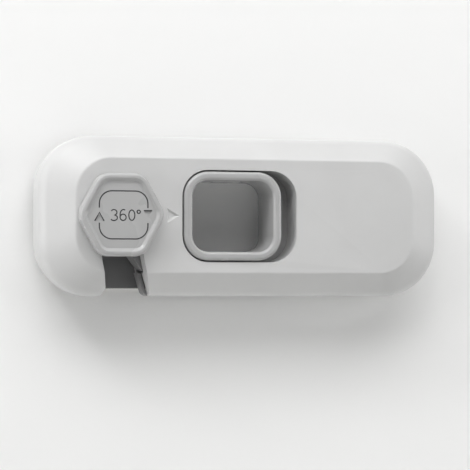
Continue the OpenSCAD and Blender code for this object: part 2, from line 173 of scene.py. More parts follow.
class NodeGraph(NodeBuilder):
    """The shader nodes of one material, placed by the piece's own coordinates."""

    def __init__(self, name: str) -> None:
        """Makes a material with an empty tree.

        Args:
            name: The material's name.
        """
        self.material = bpy.data.materials.new(name)
        self.material.use_nodes = True
        super().__init__(self.material.node_tree)
        self.tree.nodes.clear()
        self.place = self.add("ShaderNodeTexCoord").outputs["Object"]

    def noise(
        self, scale: float, detail: float = 3.0, place: bpy.types.NodeSocket | None = None
    ) -> bpy.types.NodeSocket:
        """Adds noise.

        Args:
            scale: Spots per metre.
            detail: Octaves of finer noise.
            place: Coordinates that the noise reads, or None for the piece's own.

        Returns:
            The noise's value socket.
        """
        where = self.place if place is None else place
        inputs = {"Scale": scale, "Detail": detail, "Vector": where}
        return self.add("ShaderNodeTexNoise", inputs).outputs["Fac"]

    def remap(
        self, value: bpy.types.NodeSocket, low: float, high: float, band: Span = NOISE_BAND
    ) -> bpy.types.NodeSocket:
        """Maps a band of values to a range.

        Args:
            value: Socket with the values.
            low: Result at the band's lower end.
            high: Result at its upper end.
            band: The band's two ends.

        Returns:
            The mapped value's socket.
        """
        inputs = {"Value": value, "From Min": band[0], "From Max": band[1]}
        inputs |= {"To Min": low, "To Max": high}
        return self.add("ShaderNodeMapRange", inputs).outputs["Result"]

    def blend(
        self,
        share: bpy.types.NodeSocket,
        first: Colour | bpy.types.NodeSocket,
        second: Colour | bpy.types.NodeSocket,
    ) -> bpy.types.NodeSocket:
        """Mixes two colours.

        Args:
            share: Share of the second colour.
            first: Linear red, green and blue, or a colour's socket.
            second: Linear red, green and blue, or a colour's socket.

        Returns:
            The mixed colour's socket.
        """
        inputs = {MIX_SHARE: share}
        for number, colour in zip(MIX_COLOURS, (first, second)):
            inputs[number] = (*colour, 1.0) if isinstance(colour, tuple) else colour
        return self.add("ShaderNodeMix", inputs, data_type="RGBA").outputs[MIX_RESULT]

    def mottle(
        self, cloud: bpy.types.NodeSocket, colour: Colour, low: float, high: float
    ) -> bpy.types.NodeSocket:
        """Spreads a colour between two tints of it, picked by the noise in cloud."""
        return self.blend(self.remap(cloud, 0.0, 1.0), tinted(colour, low), tinted(colour, high))

    def bump(
        self, height: bpy.types.NodeSocket, depth: float, strength: float
    ) -> bpy.types.NodeSocket:
        """Turns heights into a bumped normal, with a full bump's depth in metres."""
        inputs = {"Height": height, "Distance": depth, "Strength": strength}
        return self.add("ShaderNodeBump", inputs).outputs["Normal"]

    def finish(self, kind: str, inputs: Inputs) -> bpy.types.Material:
        """Ends the tree with its surface shader.

        Args:
            kind: The shader's type name.
            inputs: The shader's inputs.

        Returns:
            The material.
        """
        shader = self.add(kind, inputs)
        self.add("ShaderNodeOutputMaterial", {"Surface": shader.outputs[0]})
        return self.material


@dataclass(frozen=True)
class MouldedPlastic:
    """Satin moulded plastic: fine eroded grain, faint flow mottling and paler worn edges."""

    name: str
    colour: Colour
    roughness: float = 0.42
    roughness_spread: float = 0.05
    ior: float = 1.5
    grain_per_m: float = 3200.0
    grain_detail: float = 2.0
    grain_depth: float = 0.02 * MM
    grain_strength: float = 0.35
    mottle_per_m: float = 55.0
    mottle: float = 0.025
    wear: float = 0.08
    worn_tint: float = 1.35
    edge_band: Span = (0.53, 0.62)

    def material(self) -> bpy.types.Material:
        """Builds the plastic's shader.

        Returns:
            The material.
        """
        graph = NodeGraph(self.name)
        cloud = graph.noise(self.mottle_per_m)
        grain = graph.noise(self.grain_per_m, self.grain_detail)
        base = graph.mottle(cloud, self.colour, 1.0 - self.mottle, 1.0 + self.mottle)
        edge = graph.add("ShaderNodeNewGeometry").outputs["Pointiness"]
        rub = graph.remap(edge, 0.0, self.wear, self.edge_band)
        low, high = self.roughness - self.roughness_spread, self.roughness + self.roughness_spread
        inputs = {
            "Base Color": graph.blend(rub, base, tinted(self.colour, self.worn_tint)),
            "Roughness": graph.remap(cloud, low, high),
            "IOR": self.ior,
            "Normal": graph.bump(grain, self.grain_depth, self.grain_strength),
        }
        return graph.finish("ShaderNodeBsdfPrincipled", inputs)


@dataclass(frozen=True)
class PlatedSteel:
    """Zinc-plated steel with turning lines and a faint cloud in the plating."""

    name: str
    colour: Colour
    roughness: Span = (0.24, 0.42)
    line_per_m: float = 2600.0
    line_detail: float = 2.0
    line_stretch: Place = (1.0, 0.05, 1.0)
    line_depth: float = 0.01 * MM
    line_strength: float = 0.3
    cloud_per_m: float = 220.0
    cloud_tints: Span = (0.88, 1.08)

    def material(self) -> bpy.types.Material:
        """Builds the steel's shader.

        Returns:
            The material.
        """
        graph = NodeGraph(self.name)
        place = {"Vector": graph.place, "Scale": self.line_stretch}
        stretched = graph.add("ShaderNodeMapping", place).outputs["Vector"]
        lines = graph.noise(self.line_per_m, self.line_detail, stretched)
        cloud = graph.noise(self.cloud_per_m)
        inputs = {
            "Base Color": graph.mottle(cloud, self.colour, *self.cloud_tints),
            "Metallic": 1.0,
            "Roughness": graph.remap(lines, *self.roughness),
            "Normal": graph.bump(lines, self.line_depth, self.line_strength),
        }
        return graph.finish("ShaderNodeBsdfPrincipled", inputs)


@dataclass(frozen=True)
class FoamTape:
    """Closed-cell adhesive foam: small cells and a matt, slightly yellowed face."""

    name: str
    colour: Colour
    roughness: float = 0.85
    specular: float = 0.25
    cell_per_m: float = 1500.0
    cell_depth: float = 0.15 * MM
    cell_strength: float = 0.5
    cloud_per_m: float = 90.0
    cloud_detail: float = 4.0
    cloud_tints: Span = (0.93, 1.05)

    def material(self) -> bpy.types.Material:
        """Builds the foam's shader.

        Returns:
            The material.
        """
        graph = NodeGraph(self.name)
        place = {"Vector": graph.place, "Scale": self.cell_per_m}
        cells = graph.add("ShaderNodeTexVoronoi", place).outputs["Distance"]
        cloud = graph.noise(self.cloud_per_m, self.cloud_detail)
        inputs = {
            "Base Color": graph.mottle(cloud, self.colour, *self.cloud_tints),
            "Roughness": self.roughness,
            "Specular IOR Level": self.specular,
            "Normal": graph.bump(cells, self.cell_depth, self.cell_strength),
        }
        return graph.finish("ShaderNodeBsdfPrincipled", inputs)


@dataclass(frozen=True)
class PrintedInk:
    """Thin dark pad print with a slightly uneven film."""

    name: str
    colour: Colour
    roughness: Span = (0.45, 0.65)
    specular: float = 0.3
    film_per_m: float = 1800.0
    film_tints: Span = (1.0, 1.6)

    def material(self) -> bpy.types.Material:
        """Builds the ink's shader.

        Returns:
            The material.
        """
        graph = NodeGraph(self.name)
        film = graph.noise(self.film_per_m)
        inputs = {
            "Base Color": graph.mottle(film, self.colour, *self.film_tints),
            "Roughness": graph.remap(film, *self.roughness),
            "Specular IOR Level": self.specular,
        }
        return graph.finish("ShaderNodeBsdfPrincipled", inputs)


@dataclass(frozen=True)
class Finishes:
    """Every finish on the lock, as ready materials."""

    shell: bpy.types.Material
    grey: bpy.types.Material
    dark: bpy.types.Material
    latch: bpy.types.Material
    steel: bpy.types.Material
    foam: bpy.types.Material
    ink: bpy.types.Material

    @classmethod
    def make(cls) -> "Finishes":
        """Makes the lock's finishes.

        Returns:
            The finishes.
        """
        finishes = {
            "shell": MouldedPlastic("white_abs", (0.59, 0.59, 0.588)),
            "grey": MouldedPlastic("grey_abs", (0.42, 0.42, 0.42), roughness=0.26),
            "dark": MouldedPlastic("dark_abs", (0.15, 0.15, 0.152), roughness=0.4, wear=0.12),
            "latch": MouldedPlastic("latch_acetal", (0.24, 0.24, 0.242), roughness=0.36, wear=0.12),
            "steel": PlatedSteel("zinc_plated_steel", (0.62, 0.62, 0.63)),
            "foam": FoamTape("adhesive_foam", (0.72, 0.71, 0.67)),
            # The dark ink prints the mark, and it also paints shadow along the pressed arrowheads'
            # upper edges.
            "ink": PrintedInk("dark_print", (0.025, 0.025, 0.026)),
        }
        return cls(**{name: finish.material() for name, finish in finishes.items()})


def add_object(name: str, mesh: bpy.types.Mesh) -> bpy.types.Object:
    """Links a mesh into the scene as an object at the origin.

    Args:
        name: The piece's name.
        mesh: Its mesh, already in place.

    Returns:
        The new object.
    """
    piece = bpy.data.objects.new(name, mesh)
    bpy.context.scene.collection.objects.link(piece)
    return piece


def dress(
    piece: bpy.types.Object, material: bpy.types.Material, body: Body, slot: Slot, *nodes: str
) -> None:
    """Gives a piece its finish and sets what carries it.

    Args:
        piece: The piece.
        material: Its only material.
        body: The body that it rides on.
        slot: The record's slot for its finish; not used.
        *nodes: The solids that it stands for.
    """
    piece.data.materials.clear()
    piece.data.materials.append(material)
    if nodes:
        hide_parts(*nodes)
    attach(piece, body.value)
    LOG.info("%s rides on %s", piece.name, body.value)


def joint_named(frame: dict, name: str) -> dict:
    """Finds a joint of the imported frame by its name."""
    return next(joint for joint in frame["joints"] if joint["name"] == name)


def as_mesh(work: bmesh.types.BMesh, name: str) -> bpy.types.Mesh:
    """Turns an edit mesh into a plain one and frees it.

    Args:
        work: The edit mesh.
        name: The plain mesh's name.

    Returns:
        The plain mesh.
    """
    mesh = bpy.data.meshes.new(name)
    work.to_mesh(mesh)
    work.free()
    return mesh


@dataclass(frozen=True)
class EdgeFinish:
    """How a moulded or turned piece's sharp edges are rounded."""

    radius: float
    segments: int = 3
    flat_degrees: float = 0.4
    sharp_degrees: float = 34.0
    smooth_degrees: float = 50.0


def refined_mesh(node: bpy.types.Object, name: str, edge: EdgeFinish) -> bpy.types.Mesh:
    """Copies a solid's mesh, joins its triangles and rounds its sharp edges.

    Args:
        node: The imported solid.
        name: The new mesh's name.
        edge: The edges' rounding.

    Returns:
        The new mesh.
    """
    work = bmesh.new()
    work.from_mesh(node.data)
    bmesh.ops.remove_doubles(work, verts=work.verts, dist=WELD)
    bmesh.ops.dissolve_limit(
        work,
        angle_limit=math.radians(edge.flat_degrees),
        verts=work.verts,
        edges=work.edges,
        delimit=set(),
    )
    limit = math.radians(edge.sharp_degrees)
    paired = [e for e in work.edges if len(e.link_faces) == 2]
    bmesh.ops.bevel(
        work,
        geom=[e for e in paired if e.calc_face_angle(0.0) > limit],
        offset=edge.radius,
        offset_type="OFFSET",
        segments=edge.segments,
        profile=0.5,
        affect="EDGES",
        clamp_overlap=True,
    )
    for face in work.faces:
        face.smooth = True
    mesh = as_mesh(work, name)
    mesh.set_sharp_from_angle(angle=math.radians(edge.smooth_degrees))
    return mesh


def cut(piece: bpy.types.Object, cutter: bpy.types.Mesh) -> None:
    """Cuts a closed mesh out of a piece and keeps the result as the piece's mesh.

    Args:
        piece: The piece.
        cutter: The closed mesh that is taken away.
    """
    tool = add_object(f"{piece.name}_cutter", cutter)
    modifier = piece.modifiers.new("cut", "BOOLEAN")
    modifier.operation = "DIFFERENCE"
    modifier.solver = "EXACT"
    modifier.object = tool
    graph = bpy.context.evaluated_depsgraph_get()
    made = bpy.data.meshes.new_from_object(piece.evaluated_get(graph))
    piece.modifiers.remove(modifier)
    made.set_sharp_from_angle(angle=math.radians(CUT_SHARP_DEGREES))
    piece.data = made
    bpy.data.objects.remove(tool)


def refined_piece(
    node: bpy.types.Object, name: str, edge: EdgeFinish, cutter: bpy.types.Mesh | None = None
) -> bpy.types.Object:
    """Makes a rounded copy of a solid, with normals weighted to its flat faces.

    Args:
        node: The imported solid.
        name: The piece's name.
        edge: The edges' rounding.
        cutter: A closed mesh to take away, if any.

    Returns:
        The piece, not yet dressed.
    """
    piece = add_object(name, refined_mesh(node, name, edge))
    if cutter is not None:
        cut(piece, cutter)
    weights = piece.modifiers.new("flat_faces", "WEIGHTED_NORMAL")
    weights.keep_sharp = True
    return piece


Part = tuple[str, EdgeFinish, bpy.types.Material, Slot]


def fit_parts(frame: dict, body: Body, ending: str, parts: Iterable[Part]) -> None:
    """Makes and dresses rounded copies of a body's solids.

    Args:
        frame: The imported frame.
        body: The body that they ride on.
        ending: The last word of the pieces' names.
        parts: Each solid's name, edges, finish and slot.
    """
    for node, edge, material, slot in parts:
        piece = refined_piece(frame["nodes"][node], f"{node}_{ending}", edge)
        dress(piece, material, body, slot, node)


class GeometryTree(NodeBuilder):
    """A Geometry Nodes tree with named inputs, built in code and turned into a plain mesh."""

    def __init__(self, name: str) -> None:
        """Makes a tree with a geometry input and output.

        Args:
            name: The tree's name.
        """
        super().__init__(bpy.data.node_groups.new(name, "GeometryNodeTree"))
        for way in ("INPUT", "OUTPUT"):
            self.tree.interface.new_socket(
                "Geometry", in_out=way, socket_type="NodeSocketGeometry"
            )
        self.start = self.add("NodeGroupInput")
        self.identifiers: dict[str, str] = {}

    def socket(self, name: str, kind: str = "NodeSocketFloat") -> bpy.types.NodeSocket:
        """Adds a named input.

        Args:
            name: The input's name.
            kind: The socket's type name.

        Returns:
            The input's socket inside the tree.
        """
        made = self.tree.interface.new_socket(name, in_out="INPUT", socket_type=kind)
        self.identifiers[name] = made.identifier
        return self.start.outputs[name]

    def close(self, geometry: bpy.types.NodeSocket) -> None:
        """Ends the tree: real geometry, smooth faces and the finish given by the Finish input.

        Args:
            geometry: The last geometry socket.
        """
        finish = self.socket("Finish", "NodeSocketMaterial")
        steps = (
            ("GeometryNodeRealizeInstances", {}),
            ("GeometryNodeSetShadeSmooth", {}),
            ("GeometryNodeSetMaterial", {"Material": finish}),
        )
        for kind, inputs in steps:
            geometry = self.add(kind, {"Geometry": geometry, **inputs}).outputs["Geometry"]
        self.add("NodeGroupOutput", {"Geometry": geometry})

    def mesh(self, name: str, start: bpy.types.Mesh, values: dict[str, object]) -> bpy.types.Mesh:
        """Runs the tree on a mesh.

        Args:
            name: The result's name.
            start: The mesh that the tree starts from.
            values: Values of the named inputs.

        Returns:
            The result as a plain mesh.
        """
        carrier = add_object(f"{name}_carrier", start)
        modifier = carrier.modifiers.new("tree", "NODES")
        modifier.node_group = self.tree
        for key, value in values.items():
            modifier[self.identifiers[key]] = value
        graph = bpy.context.evaluated_depsgraph_get()
        made = bpy.data.meshes.new_from_object(carrier.evaluated_get(graph))
        made.name = name
        bpy.data.objects.remove(carrier)
        return made


def tube(
    tree: GeometryTree, path: bpy.types.NodeSocket, radius: bpy.types.NodeSocket, sides: int
) -> bpy.types.NodeSocket:
    """Adds a round bar along a curve.

    Args:
        tree: The tree to build in.
        path: The curve.
        radius: The bar's radius.
        sides: Faces round the bar.

    Returns:
        The bar's mesh socket.
    """
    circle = {"Resolution": sides, "Radius": radius}
    section = tree.add("GeometryNodeCurvePrimitiveCircle", circle).outputs["Curve"]
    inputs = {"Curve": path, "Profile Curve": section, "Fill Caps": True}
    return tree.add("GeometryNodeCurveToMesh", inputs).outputs["Mesh"]


def coil_tree(points_per_turn: int = 32, wire_sides: int = 12) -> GeometryTree:
    """Makes a tree that winds a compression spring along Z from the origin.

    Args:
        points_per_turn: Points on each turn.
        wire_sides: Faces round the wire.

    Returns:
        The tree.
    """
    tree = GeometryTree("wound_spring")
    turns = tree.socket("Turns")
    radius = tree.socket("Coil Radius")
    wire = tree.socket("Wire Radius")
    length = tree.socket("Length")
    inputs = {"Resolution": points_per_turn, "Rotations": turns, "Height": length}
    inputs |= {"Start Radius": radius, "End Radius": radius}
    spiral = tree.add("GeometryNodeCurveSpiral", inputs)
    tree.close(tube(tree, spiral.outputs["Curve"], wire, wire_sides))
    return tree


def screw_tree() -> GeometryTree:
    """Makes a tree that sets one screw at each point, each turned on from the last.

    Returns:
        The tree.
    """
    tree = GeometryTree("driven_screws")
    screw = tree.socket("Screw", "NodeSocketObject")
    step = tree.socket("Turn Step")
    source = tree.add("GeometryNodeObjectInfo", {"Object": screw})
    turn = tree.math("MULTIPLY", tree.add("GeometryNodeInputIndex").outputs["Index"], step)
    inputs = {
        "Points": tree.start.outputs["Geometry"],
        "Instance": source.outputs["Geometry"],
        "Rotation": tree.add("ShaderNodeCombineXYZ", {"Y": turn}).outputs["Vector"],
    }
    tree.close(tree.add("GeometryNodeInstanceOnPoints", inputs).outputs["Instances"])
    return tree


def stroke_tree(bead_sides: int = 8) -> GeometryTree:
    """Makes a tree that lays a flat bead of ink along every edge of a mesh in the XZ plane.

    Args:
        bead_sides: Faces round the bead.

    Returns:
        The tree.
    """
    tree = GeometryTree("printed_strokes")
    width = tree.socket("Stroke Width")
    flatness = tree.socket("Film Share")
    level = tree.socket("Face Level")
    path = tree.add("GeometryNodeMeshToCurve", {"Mesh": tree.start.outputs["Geometry"]})
    half = tree.math("MULTIPLY", width, 0.5)
    press = tree.add("ShaderNodeCombineXYZ", {"X": 1.0, "Y": flatness, "Z": 1.0})
    inputs = {
        "Geometry": tube(tree, path.outputs["Curve"], half, bead_sides),
        "Translation": tree.add("ShaderNodeCombineXYZ", {"Y": level}).outputs["Vector"],
        "Scale": press.outputs["Vector"],
    }
    tree.close(tree.add("GeometryNodeTransform", inputs).outputs["Geometry"])
    return tree


def lathe(profile: Path, steps: int) -> bmesh.types.BMesh:
    """Turns a profile about the Y axis into a closed solid.

    Args:
        profile: Radius and height along Y, from one pole to the other.
        steps: Faces round the axis.

    Returns:
        The solid, with outward faces.
    """
    work = bmesh.new()
    angles = [2.0 * math.pi * i / steps for i in range(steps)]
    rings = []
    for radius, height in profile:
        spots = [(radius * math.cos(a), height, radius * math.sin(a)) for a in angles]
        rings.append([work.verts.new(spot) for spot in (spots if radius > 0.0 else spots[:1])])
    for low, high in zip(rings, rings[1:]):
        for i in range(steps):
            j = (i + 1) % steps
            around = ((low, i), (low, j), (high, j), (high, i))
            corners = list(dict.fromkeys(ring[k % len(ring)] for ring, k in around))
            if len(corners) > 2:
                work.faces.new(corners)
    bmesh.ops.recalc_face_normals(work, faces=work.faces)
    return work


def prisms(outlines: list[Path], front: float, back: float) -> bpy.types.Mesh:
    """Makes upright prisms from outlines in the XZ plane.

    Args:
        outlines: Each outline's corners as X and Z.
        front: Y of the front faces.
        back: Y of the rear faces.

    Returns:
        A mesh of closed prisms.
    """
    work = bmesh.new()
    for outline in outlines:
        near = [work.verts.new((x, front, z)) for x, z in outline]
        far = [work.verts.new((x, back, z)) for x, z in outline]
        work.faces.new(near)
        work.faces.new(far[::-1])
        for i in range(len(outline)):
            j = (i + 1) % len(outline)
            work.faces.new([near[i], far[i], far[j], near[j]])
    bmesh.ops.recalc_face_normals(work, faces=work.faces)
    return as_mesh(work, "prisms")


def polylines(paths: list[Path]) -> bpy.types.Mesh:
    """Makes a mesh of open edge paths in the XZ plane.

    Args:
        paths: Each path's points as X and Z.

    Returns:
        The mesh.
    """
    points: list[Place] = []
    edges: list[tuple[int, int]] = []
    for path in paths:
        first = len(points)
        points += [(x, 0.0, z) for x, z in path]
        edges += [(first + i, first + i + 1) for i in range(len(path) - 1)]
    mesh = bpy.data.meshes.new("strokes")
    mesh.from_pydata(points, edges, [])
    return mesh


@dataclass(frozen=True)
class Arc:
    """An arc of an ellipse, with its angles in degrees."""

    centre: Point
    radii: Point
    start: float
    end: float
    steps: int = 20

    def points(self) -> Path:
        """Lists the arc's points.

        Returns:
            The points from start to end.
        """
        (x, z), (across, up) = self.centre, self.radii
        sweep = self.end - self.start
        angles = [math.radians(self.start + sweep * i / self.steps) for i in range(self.steps + 1)]
        return [(x + across * math.cos(a), z + up * math.sin(a)) for a in angles]


@dataclass(frozen=True)
class Screws:
    """A set of like screws on one body, each with a domed head, a cross recess and a thread."""

    node: str
    body: Body
    head_radius: float
    head_height: float
    shank_radius: float
    towards_door: bool = False
    dome: float = 0.25 * MM
    dome_rings: int = 5
    rim_share: float = 0.96
    rim_drop: float = 1.8
    recess_share: float = 0.56
    recess_width_share: float = 0.17
    recess_depth_share: float = 0.6
    pitch: float = 0.8 * MM
    thread_share: float = 0.78
    tip_share: float = 0.5
    tip_pitches: float = 0.6
    round_steps: int = 40
    turn_step: float = 1.1
    sharp_degrees: float = 35.0

    def centres(self, solid: bpy.types.Object) -> list[Vector]:
        """Finds each screw's head from the solid's loose parts.

        Args:
            solid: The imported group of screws.

        Returns:
            The centre of each screw on its driven face.
        """
        work = bmesh.new()
        work.from_mesh(solid.data)
        bmesh.ops.remove_doubles(work, verts=work.verts, dist=WELD)
        left = set(work.verts)
        found = []
        while left:
            group, queue = set(), [left.pop()]
            while queue:
                vertex = queue.pop()
                group.add(vertex)
                near = {e.other_vert(vertex) for e in vertex.link_edges} & left
                left -= near
                queue += near
            low = Vector([min(v.co[i] for v in group) for i in range(3)])
            high = Vector([max(v.co[i] for v in group) for i in range(3)])
            driven = low.y if self.towards_door else high.y
            found.append(Vector(((low.x + high.x) / 2, driven, (low.z + high.z) / 2)))
        work.free()
        return sorted(found, key=lambda c: (c.x, c.z))

    def profile(self, length: float) -> Path:
        """Draws half of a screw's section, from the middle of its head to its tip.

        Args:
            length: The screw's whole length.

        Returns:
            Radius and distance from the driven face.
        """
        head, core = self.head_radius, self.shank_radius * self.thread_share
        shares = [ring / self.dome_rings for ring in range(1, self.dome_rings)]
        points = [(0.0, 0.0)]
        points += [(head * share, self.dome * share**2) for share in shares]
        points += [(head * self.rim_share, self.dome), (head, self.dome * self.rim_drop)]
        points += [(head, self.head_height), (core, self.head_height)]
        for turn in range(int((length - self.head_height) / self.pitch) - 1):
            base = self.head_height + self.pitch * (turn + 0.5)
            points += [(core, base), (self.shank_radius, base + self.pitch / 2)]
        points += [(core, length - self.pitch * self.tip_pitches)]
        return points + [(core * self.tip_share, length), (0.0, length)]

    def cross(self) -> Path:
        """Draws the outline of the cross recess.

        Returns:
            The outline's twelve corners.
        """
        reach = self.head_radius * self.recess_share
        half = self.head_radius * self.recess_width_share
        quarter = [(-half, -reach), (half, -reach), (half, -half)]
        corners = []
        for _ in range(4):
            corners += quarter
            quarter = [(-z, x) for x, z in quarter]
        return corners

    def prototype(self, length: float) -> bpy.types.Object:
        """Makes one screw with its driven face at the origin and its shank along its way in.

        Args:
            length: The screw's whole length.

        Returns:
            The screw.
        """
        way = 1.0 if self.towards_door else -1.0
        turned = lathe([(r, way * h) for r, h in self.profile(length)], self.round_steps)
        screw = add_object(f"{self.node}_screw", as_mesh(turned, f"{self.node}_screw"))
        depth = way * self.head_height * self.recess_depth_share
        cut(screw, prisms([self.cross()], -depth, depth))
        return screw

    def build(self, frame: dict, finish: bpy.types.Material) -> None:
        """Makes and dresses the whole set as one piece.

        Args:
            frame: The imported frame.
            finish: The screws' finish.
        """
        solid = frame["nodes"][self.node]
        points = bpy.data.meshes.new(f"{self.node}_points")
        points.from_pydata(self.centres(solid), [], [])
        heights = [v.co.y for v in solid.data.vertices]
        screw = self.prototype(max(heights) - min(heights))
        values = {"Screw": screw, "Turn Step": self.turn_step, "Finish": finish}
        mesh = screw_tree().mesh(self.node, points, values)
        bpy.data.objects.remove(screw)
        mesh.set_sharp_from_angle(angle=math.radians(self.sharp_degrees))
        piece = add_object(f"{self.node}_dressed", mesh)
        dress(piece, finish, self.body, Slot.STEEL, self.node)


@dataclass(frozen=True)
class Springs:
    """The two wound springs that push the button back."""

    nodes: tuple[str, ...] = ("upper_spring", "lower_spring")
    joint: str = "button_slide"
    turns: float = 6.0
    wire: float = 0.6 * MM

    def build(self, frame: dict, finish: bpy.types.Material) -> None:
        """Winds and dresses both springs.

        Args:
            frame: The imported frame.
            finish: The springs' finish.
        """
        tree = coil_tree()
        along = Matrix.Rotation(math.radians(90.0), 4, "Y")
        for node in self.nodes:
            low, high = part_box(node)
            middle = (low + high) / 2
            values = {
                "Turns": self.turns,
                "Coil Radius": (high.z - low.z - self.wire) / 2,
                "Wire Radius": self.wire / 2,
                "Length": high.x - low.x - self.wire,
                "Finish": finish,
            }
            mesh = tree.mesh(node, bpy.data.meshes.new(f"{node}_start"), values)
            end = Matrix.Translation((low.x + self.wire / 2, middle.y, middle.z))
            mesh.transform(end @ along)
            piece = add_object(f"{node}_wound", mesh)
            dress(piece, finish, Body.CASING, Slot.STEEL, node)
            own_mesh(piece)


@dataclass
class Casing:
    """The white casing with its rear cover, and the dark guide beside the stud's slot."""

    shell_edge: EdgeFinish = EdgeFinish(radius=0.3 * MM)
    cover_edge: EdgeFinish = EdgeFinish(radius=0.2 * MM, segments=2)
    guide_edge: EdgeFinish = EdgeFinish(radius=0.35 * MM)
    screws: Screws = Screws(
        "cover_screws",
        Body.CASING,
        head_radius=2.5 * MM,
        head_height=1.1 * MM,
        shank_radius=1.1 * MM,
    )
    springs: Springs = Springs()

    def build(self, frame: dict, finishes: Finishes) -> None:
        """Makes and dresses the casing's pieces.

        Args:
            frame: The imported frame.
            finishes: The lock's finishes.
        """
        parts = (
            ("front_shell", self.shell_edge, finishes.shell, Slot.SHELL),
            ("rear_cover", self.cover_edge, finishes.shell, Slot.SHELL),
            ("slot_guide", self.guide_edge, finishes.latch, Slot.DARK),
        )
        fit_parts(frame, Body.CASING, "moulded", parts)
        self.screws.build(frame, finishes.steel)
        self.springs.build(frame, finishes.steel)


@dataclass
class Slider:
    """The grey button round its finger hole, with the dark bolt screwed to it."""

    button_edge: EdgeFinish = EdgeFinish(radius=0.2 * MM, segments=2)
    bolt_edge: EdgeFinish = EdgeFinish(radius=0.4 * MM)
    screws: Screws = Screws(
        "latch_screws",
        Body.SLIDER,
        head_radius=1.6 * MM,
        head_height=1.1 * MM,
        shank_radius=0.8 * MM,
    )

    def build(self, frame: dict, finishes: Finishes) -> None:
        """Makes and dresses the slider's pieces.

        Args:
            frame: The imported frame.
            finishes: The lock's finishes.
        """
        parts = (
            ("slide_button", self.button_edge, finishes.grey, Slot.GREY),
            ("latch_bolt", self.bolt_edge, finishes.latch, Slot.DARK),
        )
        fit_parts(frame, Body.SLIDER, "moulded", parts)
        self.screws.build(frame, finishes.steel)


def in_metres(paths: Iterable[Iterable[Point]]) -> list[Path]:
    """Scales paths from millimetres to metres."""
    return [[(x * MM, z * MM) for x, z in path] for path in paths]


@dataclass(frozen=True)
class TurnMark:
    """The mark in the knob's dish, about the knob's axis.

    It is a broken loop with two arrowheads round the number of degrees in a turn.
    """

    centre: Point = (0.45 * MM, -0.06 * MM)
    half_width: float = 6.97 * MM
    half_height: float = 6.74 * MM
    corner: float = 3.6 * MM
    corner_steps: int = 12
    upper_end: float = 1.9 * MM
    lower_end: float = -2.3 * MM
    loop_stroke: float = 0.36 * MM
    number_stroke: float = 0.34 * MM
    film_share: float = 0.15
    arrow_depth: float = 0.3 * MM
    # Three, six, nought and the sign for degrees, in millimetres.
    digits: tuple[tuple[Arc, ...], ...] = (
        (
            Arc((-2.34, 0.64), (0.84, 0.76), 150.0, -80.0),
            Arc((-2.34, -0.88), (0.98, 0.78), 80.0, -150.0),
        ),
        (
            Arc((0.4, 0.02), (0.98, 1.42), 62.0, 180.0),
            Arc((0.28, -0.74), (0.86, 0.88), 180.0, 540.0),
        ),
        (Arc((2.78, -0.12), (0.86, 1.46), 0.0, 360.0, 32),),
        (Arc((4.76, 0.86), (0.46, 0.46), 0.0, 360.0),),
    )
    # The pressed arrowheads' outlines, and the strokes of painted shadow along their upper edges, in
    # millimetres.
    arrowheads: tuple[Outline, ...] = (
        ((-6.5, 0.4), (-7.7, -1.8), (-5.3, -1.8)),
        ((6.29, 1.05), (8.6, 1.05), (7.45, -0.75)),
    )
    arrow_painted_shadows: tuple[Outline, ...] = (
        ((-7.85, -1.8), (-6.5, 0.62), (-5.15, -1.8)),
        ((6.25, 1.2), (8.64, 1.2)),
    )

    def loop(self) -> list[Path]:
        """Draws the loop.

        Returns:
            Its upper and its lower stroke.
        """
        (x, z), r, n = self.centre, self.corner, self.corner_steps
        left, right = x - self.half_width, x + self.half_width
        low, high = z - self.half_height, z + self.half_height
        upper = [(left, self.upper_end)]
        upper += Arc((left + r, high - r), (r, r), 180.0, 90.0, n).points()
        upper += Arc((right - r, high - r), (r, r), 90.0, 0.0, n).points()
        lower = [(left, self.lower_end)]
        lower += Arc((left + r, low + r), (r, r), 180.0, 270.0, n).points()
        lower += Arc((right - r, low + r), (r, r), 270.0, 360.0, n).points()
        return [upper + [(right, self.upper_end)], lower + [(right, self.lower_end)]]

    def number(self) -> list[Path]:
        """Draws a stroke for each digit of the number and one for its sign for degrees."""
        return in_metres([[p for part in digit for p in part.points()] for digit in self.digits])


